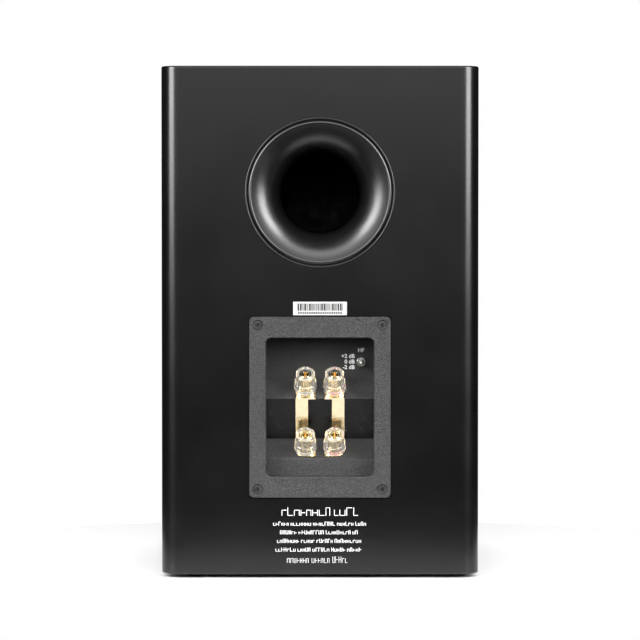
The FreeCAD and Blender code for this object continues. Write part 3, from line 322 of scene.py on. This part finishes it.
def board_finish():
    """Black wrap over fibreboard: a very fine grain and a soft sheen, rubbed here and there.

    The wrap hides the joints between the boards, so their edges are neither rounded nor worn. It is
    matt where it faces up, so that the lights beside the box don't turn its top white.
    """
    colour = (0.0018, 0.0018, 0.0019)
    finish = Finish("black_board")
    grain = finish.noise(0.35 * MM, 4, 0.6)
    cloud = finish.noise(40 * MM, 3)
    rub = finish.noise(9 * MM, 5, 0.7)
    tone = finish.blend(finish.remap(cloud, 0, 1, 0.3, 0.7), shade(colour, 0.92), shade(colour, 1.08))
    finish.colour(finish.blend(finish.remap(rub, 0, 1, 0.62, 0.8), tone, shade(colour, 1.5)))
    up = finish.leaning(0.5, 0.95)
    sheen = finish.remap(cloud, 0.23, 0.27, 0.3, 0.7)
    finish.roughness(finish.maths("ADD", sheen, finish.maths("MULTIPLY", up, 0.6)))
    finish.link(finish.remap(up, 0.5, 0.04), finish.shader.inputs["Specular IOR Level"])
    finish.relief((grain, 0.003 * MM), rounded=False)
    return finish


def clear_finish():
    """Clear acrylic, slightly milky, whose shadow lets most of the light through."""
    finish = Finish("clear_plastic")
    smear = finish.noise(3 * MM, 2)
    finish.colour(finish.blend(smear, (0.99, 0.975, 0.93), (1.0, 0.99, 0.96)))
    finish.roughness(finish.remap(smear, 0.0, 0.03, 0.3, 0.7))
    finish.relief((finish.noise(1.2 * MM, 2), 0.002 * MM))
    finish.shader.inputs["IOR"].default_value = 1.32
    finish.shader.inputs["Transmission Weight"].default_value = 0.92
    rays = finish.node("ShaderNodeLightPath")
    clear = finish.node("ShaderNodeBsdfTransparent")
    mix = finish.node("ShaderNodeMixShader")
    finish.link(rays.outputs["Is Shadow Ray"], mix.inputs["Fac"])
    finish.link(finish.shader.outputs["BSDF"], mix.inputs[1])
    finish.link(clear.outputs["BSDF"], mix.inputs[2])
    finish.link(mix.outputs["Shader"], finish.tree.nodes["Material Output"].inputs["Surface"])
    return finish


def port_finish():
    """Satin black plastic whose sheen dies away down the throat."""
    finish = moulded("port_plastic", (0.002, 0.002, 0.0021), 0.31, 0.5 * MM, 0.03 * MM)
    sheen = finish.remap(finish.coordinate("Y"), 0.0, 0.68, REAR - 19 * MM, REAR - 11 * MM)
    finish.link(sheen, finish.shader.inputs["Specular IOR Level"])
    return finish


def wood_fibre():
    """Bare fibreboard: short pressed fibres."""
    finish = Finish("raw_board")
    fibre = finish.noise(0.8 * MM, 5, 0.7, finish.stretched((1, 1, 4)))
    finish.colour(finish.blend(fibre, (0.25, 0.16, 0.09), (0.5, 0.36, 0.22)))
    finish.roughness(finish.remap(fibre, 0.75, 0.95))
    finish.relief((fibre, 0.1 * MM))
    return finish


def wadding():
    """Loose fibre wadding, kept dark because it is only seen in the dark of the port."""
    finish = Finish("lining_felt")
    fluff = finish.noise(1.5 * MM, 6, 0.75)
    finish.colour(finish.blend(fluff, (0.004, 0.004, 0.004), (0.012, 0.012, 0.012)))
    finish.roughness(finish.remap(fluff, 0.9, 1.0))
    finish.relief((fluff, 0.8 * MM))
    return finish


def make_finishes():
    """One finish for each material slot, and a few for single pieces that need their own."""
    gold = (0.93, 0.79, 0.52)
    near_black = (0.02, 0.02, 0.021)
    return {
        "black_board": board_finish(),
        "raw_board": wood_fibre(),
        "lining_felt": wadding(),
        "foot_rubber": moulded("foot_rubber", (0.02, 0.02, 0.02), 0.75, 0.4 * MM, 0.04 * MM),
        # A darker, unreflecting copy of the port plastic: painted shade down the throat.
        "port_throat": moulded("port_throat", (0.001, 0.001, 0.001), 0.95, 0.3 * MM, 0.004 * MM, 1.0),
        "port_plastic": port_finish(),
        "cup_plastic": pebbled("cup_plastic", (0.0135, 0.0135, 0.014), 0.42, 0.8 * MM, 0.45 * MM),
        "gasket_foam": moulded("gasket_foam", (0.02, 0.02, 0.02), 0.9, 0.5 * MM, 0.1 * MM),
        "black_steel": metal("black_steel", (0.055, 0.055, 0.057), 0.42, 0.2 * MM, 0.02 * MM, metallic=0.7),
        "gold_link": metal("gold_link", shade(gold, 0.74), 0.14, 0.3 * MM, 0.003 * MM),
        "faceplate_plastic": moulded(
            "faceplate_plastic", (0.004, 0.004, 0.004), 0.34, 0.4 * MM, 0.012 * MM
        ),
        "gold_brass": grooved_gold("gold_brass", gold),
        "zinc_steel": metal("zinc_steel", (0.6, 0.6, 0.58), 0.35),
        "red_plastic": moulded("red_plastic", (0.45, 0.015, 0.012), 0.25, 0.3 * MM, 0.004 * MM, 1.2),
        "dark_plastic": moulded("dark_plastic", (0.012, 0.012, 0.012), 0.3, 0.3 * MM, 0.006 * MM),
        "clear_plastic": clear_finish(),
        "nickel_steel": metal("nickel_steel", (0.85, 0.84, 0.81), 0.24, 0.2 * MM, 0.002 * MM),
        "basket_metal": moulded("basket_metal", near_black, 0.42, 0.35 * MM, 0.03 * MM),
        "cone_pulp": moulded("cone_pulp", (0.028, 0.028, 0.03), 0.62, 0.9 * MM, 0.07 * MM, 1.1, 0.3),
        "surround_rubber": moulded(
            "surround_rubber", (0.014, 0.014, 0.014), 0.48, 0.25 * MM, 0.006 * MM, 1.2
        ),
        "coil_copper": metal("coil_copper", (0.75, 0.33, 0.16), 0.28, 0.3 * MM, 0.05 * MM, (1, 6, 1)),
        "former_foil": metal("former_foil", (0.8, 0.8, 0.8), 0.3),
        "spider_cloth": woven("spider_cloth", (0.5, 0.34, 0.12), 0.5 * MM),
        "motor_steel": metal("motor_steel", near_black, 0.5, 0.2 * MM, 0.01 * MM, metallic=0.3),
        "ferrite": moulded("ferrite", (0.035, 0.035, 0.038), 0.55, 0.6 * MM, 0.03 * MM),
        "dome_silk": woven("dome_silk", (0.035, 0.035, 0.04), 0.22 * MM, 0.55),
        "circuit_laminate": moulded("circuit_laminate", (0.03, 0.12, 0.05), 0.4, 0.4 * MM, 0.01 * MM),
        "part_film": moulded("part_film", (0.5, 0.32, 0.05), 0.3, 0.5 * MM, 0.01 * MM),
        "ceramic_white": moulded("ceramic_white", (0.7, 0.69, 0.65), 0.7, 0.5 * MM, 0.04 * MM, 1.1),
        "lead_sleeve": moulded("lead_sleeve", (0.02, 0.02, 0.02), 0.6, 0.5 * MM, 0.02 * MM),
    }


def dress_cad_nodes(finishes):
    """Give each CAD node the finish of its slot, or one of its own."""
    slots = {item["node"]: item["material_slot"] for item in frame["record"]["subparts"]}
    # The throat's copy of the port plastic reflects nothing: painted shade down the throat.
    finishes["port_throat"].shader.inputs["Specular IOR Level"].default_value = 0.0
    slots.update(dict.fromkeys(("port_tube", "port_inner_flare"), "port_throat"))
    slots.update(dict.fromkeys(("jumper_link_positive", "jumper_link_negative"), "gold_link"))
    slots["tweeter_faceplate"] = "faceplate_plastic"
    for node, item in NODES.items():
        item.data.materials.clear()
        item.data.materials.append(finishes[slots[node]].material)


# ---------------------------------------------------------------------------
# Mesh helpers
# ---------------------------------------------------------------------------


def add_piece(name, mesh, finish, body="cabinet"):
    """A new piece of the speaker that rides on a body."""
    piece = bpy.data.objects.new(name, mesh)
    bpy.context.scene.collection.objects.link(piece)
    mesh.materials.append(finish.material)
    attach(piece, body)
    return piece


def shapes_mesh(name, outlines, thickness, axes, origin):
    """Flat closed outlines, given as lists of (along, up), raised by a thickness."""
    build = bmesh.new()
    for outline in outlines:
        corners = [build.verts.new((x, y, 0)) for x, y in outline]
        face = build.faces.new(corners)
        if face.calc_area() and face.normal.z < 0:
            face.normal_flip()
        raised = bmesh.ops.extrude_face_region(build, geom=[face])
        for item in raised["geom"]:
            if isinstance(item, bmesh.types.BMVert):
                item.co.z += thickness
    bmesh.ops.recalc_face_normals(build, faces=build.faces)
    mesh = bpy.data.meshes.new(name)
    build.to_mesh(mesh)
    build.free()
    mesh.transform(Matrix.Translation(origin) @ axes.to_4x4())
    return mesh


def rounded_bar(x, y, width, height, radius, steps=4):
    """The outline of a bar centred on (x, y) with round corners."""
    outline = []
    for index, (side, top) in enumerate(((1, 1), (-1, 1), (-1, -1), (1, -1))):
        for step in range(steps + 1):
            angle = math.radians(90 * index + 90 * step / steps)
            outline.append((
                x + side * (width / 2 - radius) + radius * math.cos(angle),
                y + top * (height / 2 - radius) + radius * math.sin(angle),
            ))
    return outline


def text_mesh(name, words, height, axes, origin, align):
    """Generic lettering as a thin mesh whose capitals are height tall."""
    thickness = 0.01 * MM
    curve = bpy.data.curves.new(name, "FONT")
    curve.body = words
    curve.align_x = align
    curve.align_y = "CENTER"
    capital_share = 0.69
    curve.size = height / capital_share
    curve.extrude = thickness / 2
    curve.offset = 0.02 * curve.size
    carrier = bpy.data.objects.new(name + "_source", curve)
    bpy.context.scene.collection.objects.link(carrier)
    bpy.context.view_layer.update()
    shaped = carrier.evaluated_get(bpy.context.evaluated_depsgraph_get())
    mesh = bpy.data.meshes.new_from_object(shaped)
    bpy.data.objects.remove(carrier)
    mesh.transform(Matrix.Translation(origin) @ axes.to_4x4())
    mesh.name = name
    return mesh


# ---------------------------------------------------------------------------
# Turned pieces: the port's mouth, and the flexible rings that carry a cone or a dome
# ---------------------------------------------------------------------------


def thickened(curve, thickness):
    """A closed outline from a curve of (radius, depth) points and its back, set deeper."""
    return curve + [(radius, depth + thickness) for radius, depth in reversed(curve)]


def wave(start, end, level, height, steps=14):
    """Points along one half wave between two radii, its crest in front by height."""
    points = []
    for step in range(1, steps + 1):
        share = step / steps
        points.append((start + (end - start) * share, level - height * math.sin(math.pi * share)))
    return points


def unrolled_mesh(name, outline, segments=144):
    """A closed outline of (radius, depth) in mm swept along z, one unit for each segment."""
    build = bmesh.new()
    rings = []
    for segment in range(segments):
        rings.append([build.verts.new((radius * MM, depth * MM, segment)) for radius, depth in outline])
    for segment in range(segments):
        near, far = rings[segment], rings[(segment + 1) % segments]
        for index in range(len(outline)):
            after = (index + 1) % len(outline)
            build.faces.new((near[index], near[after], far[after], far[index])).smooth = True
    mesh = bpy.data.meshes.new(name)
    build.to_mesh(mesh)
    build.free()
    return mesh


def roll_up(mesh, centre, axis, segments=144):
    """Turn an unrolled mesh into a ring round centre whose depth runs along axis."""
    turn = Vector(axis).to_track_quat("Y", "Z").to_matrix()
    for vertex in mesh.vertices:
        radius, depth, segment = vertex.co
        angle = 2 * math.pi * segment / segments
        vertex.co = centre + turn @ Vector((radius * math.cos(angle), depth, radius * math.sin(angle)))
    shell = bmesh.new()
    shell.from_mesh(mesh)
    bmesh.ops.recalc_face_normals(shell, faces=shell.faces)
    shell.to_mesh(mesh)
    shell.free()


def centre_of(node, face):
    """The middle of a round node, on the plane y = face."""
    low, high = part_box(node)
    return Vector(((low.x + high.x) / 2, face, (low.z + high.z) / 2))


def soft_ring(node, outline, finish):
    """A turned ring that takes the place of a CAD node and hides it."""
    mesh = unrolled_mesh(node + "_soft", outline)
    ring = bpy.data.objects.new(node + "_soft", mesh)
    bpy.context.scene.collection.objects.link(ring)
    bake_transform(ring)
    roll_up(mesh, centre_of(node, BAFFLE_FACE), (0, 1, 0))
    mesh.materials.append(finish.material)
    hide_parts(node)


def quarter(centre, radii, first, last, steps):
    """Points on part of an ellipse, between two angles in degrees from the radius axis."""
    points = []
    for step in range(steps + 1):
        angle = math.radians(first + (last - first) * step / steps)
        points.append((centre[0] + radii[0] * math.cos(angle), centre[1] + radii[1] * math.sin(angle)))
    return points


def make_port_mouth(finish):
    """The port's flare with its rounded lip, a dark groove and a thin outer ring.

    Each point is a radius and a depth behind the rear face, in mm.
    """
    throat = [(28.5, 25), (26, 25)]
    flare = quarter((47, 22.5), (20.5, 23), 180, 265, 36)
    lip = quarter((45.2, 1.38), (1.85, 1.85), -88, 0, 14)
    groove = [(47.05, 1.9), (47.75, 1.9)]
    outer_ring = quarter((48.35, 0.5), (0.6, 0.6), 180, 360, 12)
    back = [(48.8, 4.9), (43, 4.9), (36, 9.5), (31, 20.5), (31, 33), (28.5, 33)]
    outline = throat + flare + lip + groove + outer_ring + back
    mesh = unrolled_mesh("port_mouth", outline)
    roll_up(mesh, centre_of("port_flange", REAR), (0, -1, 0))
    mouth = add_piece("port_mouth", mesh, finish)
    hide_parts("port_flange")


def make_socket_shadow_rings(finish):
    """A black ring round the socket in the mouth of each upper knob: a painted shadow in the gap there."""
    above_socket = 5.05 * MM
    segments = 48
    for mount in frame["record"]["mounts"]:
        if mount["name"].startswith("socket_hf"):
            axis = Vector(mount["axis"])
            seat = Vector(mount["pos_m"]) + axis * above_socket
            tag = mount["name"].removeprefix("socket_")
            outline = [(3.12, 0), (4.05, 0), (4.05, 0.45)]
            outline += quarter((3.6, 0.45), (0.45, 0.3), 0, 180, 8)
            mesh = unrolled_mesh(f"shadow_ring_{tag}", outline, segments)
            roll_up(mesh, seat, axis, segments)
            # Painted shadow: the black ring stands in for the shade in the gap round the socket.
            add_piece(f"shadow_ring_{tag}", mesh, finish, body=f"knob_{tag}")


def make_suspensions(finishes):
    """The surround's half roll, the spider's ripples and the dome's small roll, in mm."""
    rubber = finishes["surround_rubber"]
    cloth = finishes["spider_cloth"]
    silk = finishes["dome_silk"]
    surround = [(56.6, 1.45), (57.4, 1.3), (58, 1.3)] + wave(58, 68, 1.3, 3.3, 24)
    surround += [(68.4, 1.3), (69.4, 1.3), (73.9, 1.3)]
    surround = thickened(surround, 0.65)
    soft_ring("woofer_surround", surround, rubber)
    spider = [(13.1, 37.2), (14.5, 37.2), (16, 37.2)]
    for index, start in enumerate((16, 20, 24, 28)):
        spider += wave(start, start + 4, 37.2, 1.0 if index % 2 else -1.0, 8)
    spider += [(33.5, 36.7), (35, 37.3), (36, 38), (38, 38), (41, 38)]
    spider = thickened(spider, 0.45)
    soft_ring("woofer_spider", spider, cloth)
    roll = [(12.75, 8.1)] + wave(12.75, 16.2, 8.1, 1.1, 12) + [(16.4, 9.05), (18, 9.05)]
    roll = thickened(roll, 0.25)
    soft_ring("tweeter_suspension", roll, silk)


# ---------------------------------------------------------------------------
# Print on the rear: switch markings, a label of stripes and unreadable small print
# ---------------------------------------------------------------------------


def ink_finish():
    """White screen print, a little uneven."""
    finish = Finish("white_ink")
    patch = finish.noise(0.6 * MM, 3)
    finish.colour(finish.blend(patch, (0.8, 0.8, 0.8), (0.95, 0.95, 0.95)))
    finish.roughness(finish.remap(patch, 0.5, 0.7))
    finish.relief((patch, 0.01 * MM))
    return finish


def make_switch_marks(ink):
    """The switch's name above it and its three settings beside it."""
    panel_face = PLATE_FACE - 22 * MM
    marks = [
        ("mark_hf", "HF", 2.5, 0, 7.6, "CENTER"),
        ("mark_up", "+2 dB", 2.5, -4.2, 3.7, "RIGHT"),
        ("mark_flat", "0 dB", 2.5, -4.2, 0.05, "RIGHT"),
        ("mark_down", "-2 dB", 2.5, -4.2, -3.6, "RIGHT"),
    ]
    for name, words, height, along, up, align in marks:
        origin = Vector((SWITCH.x - along * MM, panel_face + 0.02 * MM, SWITCH.z + up * MM))
        add_piece(name, text_mesh(name, words, height * MM, READ_FROM_BEHIND, origin, align), ink)


def make_label(ink, paper, dark):
    """A white sticker with a generic band of stripes and no lettering."""
    centre = Vector((0, REAR, PLATE_HIGH.z + 5.4 * MM))
    outline = rounded_bar(0, 0, 35 * MM, 8.8 * MM, 0.3 * MM)
    sheet = shapes_mesh("label_paper", [outline], 0.1 * MM, READ_FROM_BEHIND, centre)
    add_piece("label_paper", sheet, paper)
    chance = random.Random(11)
    stripes = []
    band_half = 14.6 * MM
    along = -band_half
    while along < band_half:
        wide = chance.choice((0.35, 0.35, 0.6, 1.0)) * MM
        stripes.append(rounded_bar(along + wide / 2, 0.9 * MM, wide, 4.6 * MM, 0.02 * MM, 1))
        along += wide + chance.choice((0.3, 0.3, 0.45, 0.6)) * MM
    row_half = 13.8 * MM
    along = -row_half
    while along < row_half:
        stripes.append(rounded_bar(along, -2.9 * MM, 0.95 * MM, 1.3 * MM, 0.3 * MM, 2))
        along += 1.45 * MM
    on_paper = centre + Vector((0, 0.1 * MM, 0))
    printed = shapes_mesh("label_stripes", stripes, 0.02 * MM, READ_FROM_BEHIND, on_paper)
    add_piece("label_stripes", printed, dark)


def make_small_print(ink):
    """Rows of unreadable marks, grouped like words, where the rating print stands.

    A row is its height above the plate's foot, its width, the height of its marks, all in mm, and
    the width of a mark as a share of that height.
    """
    chance = random.Random(5)
    rows = [(-9.0, 50, 5.4, 0.62)]
    for drop, width in ((-16.9, 61), (-22.5, 52), (-28.1, 56), (-33.8, 58)):
        rows.append((drop, width, 2.6, 0.56))
    rows.append((-40.4, 43, 4.2, 0.36))
    marks = []
    corner = 0.02 * MM
    for drop, width, height, letter in rows:
        stroke = 0.17 * min(height, 4 * letter)
        along = -width / 2
        while along < width / 2 - height:
            for _ in range(chance.randint(4, 9)):
                wide = chance.uniform(0.85, 1.15) * letter * height
                if along + wide > width / 2:
                    break
                tall = chance.choice((0.72, 0.72, 1.0)) * height
                foot = drop - height / 2
                stem = ((along + stroke / 2) * MM, (foot + tall / 2) * MM, stroke * MM, tall * MM)
                level = foot + chance.choice((stroke / 2, tall / 2, tall - stroke / 2))
                bar = ((along + wide / 2) * MM, level * MM, wide * MM, stroke * MM)
                marks.append(rounded_bar(*stem, corner, 1))
                marks.append(rounded_bar(*bar, corner, 1))
                if chance.random() < 0.6:
                    far = ((along + wide - stroke / 2) * MM, *stem[1:])
                    marks.append(rounded_bar(*far, corner, 1))
                along += wide + 0.1 * height + 0.15
            along += 0.35 * height
    origin = Vector((0, REAR + 0.01 * MM, PLATE_LOW.z))
    printed = shapes_mesh("small_print", marks, 0.02 * MM, READ_FROM_BEHIND, origin)
    add_piece("small_print", printed, ink)


# ---------------------------------------------------------------------------
# Set: floor, lights and camera
# ---------------------------------------------------------------------------


def make_floor():
    """A round white table top just large enough to hold the shadow."""
    build = bmesh.new()
    bmesh.ops.create_circle(build, cap_ends=True, segments=96, radius=FLOOR_RADIUS)
    mesh = bpy.data.meshes.new("floor")
    build.to_mesh(mesh)
    build.free()
    floor = bpy.data.objects.new("floor", mesh)
    bpy.context.scene.collection.objects.link(floor)
    finish = Finish("floor_white")
    finish.colour(finish.blend(finish.noise(0.3), (0.8, 0.8, 0.8), (0.84, 0.84, 0.84)))
    finish.fixed(roughness=0.6)
    mesh.materials.append(finish.material)


def area_light(name, place, aim, size, radiance):
    """A rectangular light of a given radiance that faces a point."""
    lamp = bpy.data.lights.new(name, "AREA")
    lamp.shape = "RECTANGLE"
    lamp.size, lamp.size_y = size
    lamp.energy = radiance * math.pi * size[0] * size[1]
    carrier = bpy.data.objects.new(name, lamp)
    carrier.location = place
    carrier.rotation_mode = "QUATERNION"
    carrier.rotation_quaternion = (Vector(aim) - Vector(place)).to_track_quat("-Z", "Y")
    bpy.context.scene.collection.objects.link(carrier)


def make_lights():
    """A soft light overhead, a tall strip on each side, a faint panel behind and a front fill.

    The world is white where the camera sees it and nearly dark for all other rays.
    """
    area_light("overhead", (0, 0.95, 1.05), (0, 0.13, 0.25), (1.4, 0.5), OVERHEAD_RADIANCE)
    for side in (-1, 1):
        angle = math.radians(STRIP_AZIMUTH)
        across = side * STRIP_REACH * math.sin(angle)
        along = REAR + STRIP_REACH * math.cos(angle)
        place = (across, along, STRIP_LOW + STRIP_TALL / 2)
        size = (STRIP_WIDE, STRIP_TALL)
        area_light(f"strip_{side}", place, (0, REAR, place[2]), size, STRIP_RADIANCE)
    area_light("back_panel", (0, 2.7, 1.15), (0, REAR, 0.9), (3.2, 1.5), BACK_RADIANCE)
    area_light("front_fill", (0, -1.5, 1.1), (0, -0.1, 0.15), (1.2, 0.8), FILL_RADIANCE)
    world = bpy.data.worlds.new("studio")
    bpy.context.scene.world = world
    world.use_nodes = True
    tree = world.node_tree
    background = tree.nodes["Background"]
    rays = tree.nodes.new("ShaderNodeLightPath")
    mix = tree.nodes.new("ShaderNodeMix")
    tree.links.new(rays.outputs["Is Camera Ray"], mix.inputs["Factor"])
    mix.inputs["A"].default_value = WORLD_RADIANCE
    mix.inputs["B"].default_value = 1.0
    tree.links.new(mix.outputs["Result"], background.inputs["Strength"])
    background.inputs["Color"].default_value = (1, 1, 1, 1)


def make_camera():
    """Straight behind the box, a little above its middle, with a long lens."""
    camera = bpy.data.cameras.new("camera")
    carrier = bpy.data.objects.new("camera", camera)
    bpy.context.scene.collection.objects.link(carrier)
    camera.lens = 184
    camera.sensor_width = 36
    camera.clip_start, camera.clip_end = 0.05, 20
    distance = 2.126
    place = Vector((0, REAR + distance, 0.237))
    target = Vector((0, REAR, 0.1684))
    carrier.location = place
    carrier.rotation_mode = "QUATERNION"
    carrier.rotation_quaternion = (target - place).to_track_quat("-Z", "Y")
    bpy.context.scene.camera = carrier


def set_colour_management():
    """Plain display of the render, with no film look."""
    view = bpy.context.scene.view_settings
    view.view_transform = "Standard"
    view.look = "None"
    view.exposure = 0.0
    view.gamma = 1.0


finishes = make_finishes()
dress_cad_nodes(finishes)
ink = ink_finish()
paper = moulded("label_white", (0.44, 0.44, 0.435), 0.5, 0.4 * MM, 0.01 * MM, 1.0, 0.03)
make_port_mouth(finishes["port_plastic"])
# Black rings as painted shadow round the upper sockets.
make_socket_shadow_rings(finishes["dark_plastic"])
make_suspensions(finishes)
make_switch_marks(ink)
make_label(ink, paper, finishes["dark_plastic"])
make_small_print(ink)
make_floor()
make_lights()
make_camera()
set_colour_management()
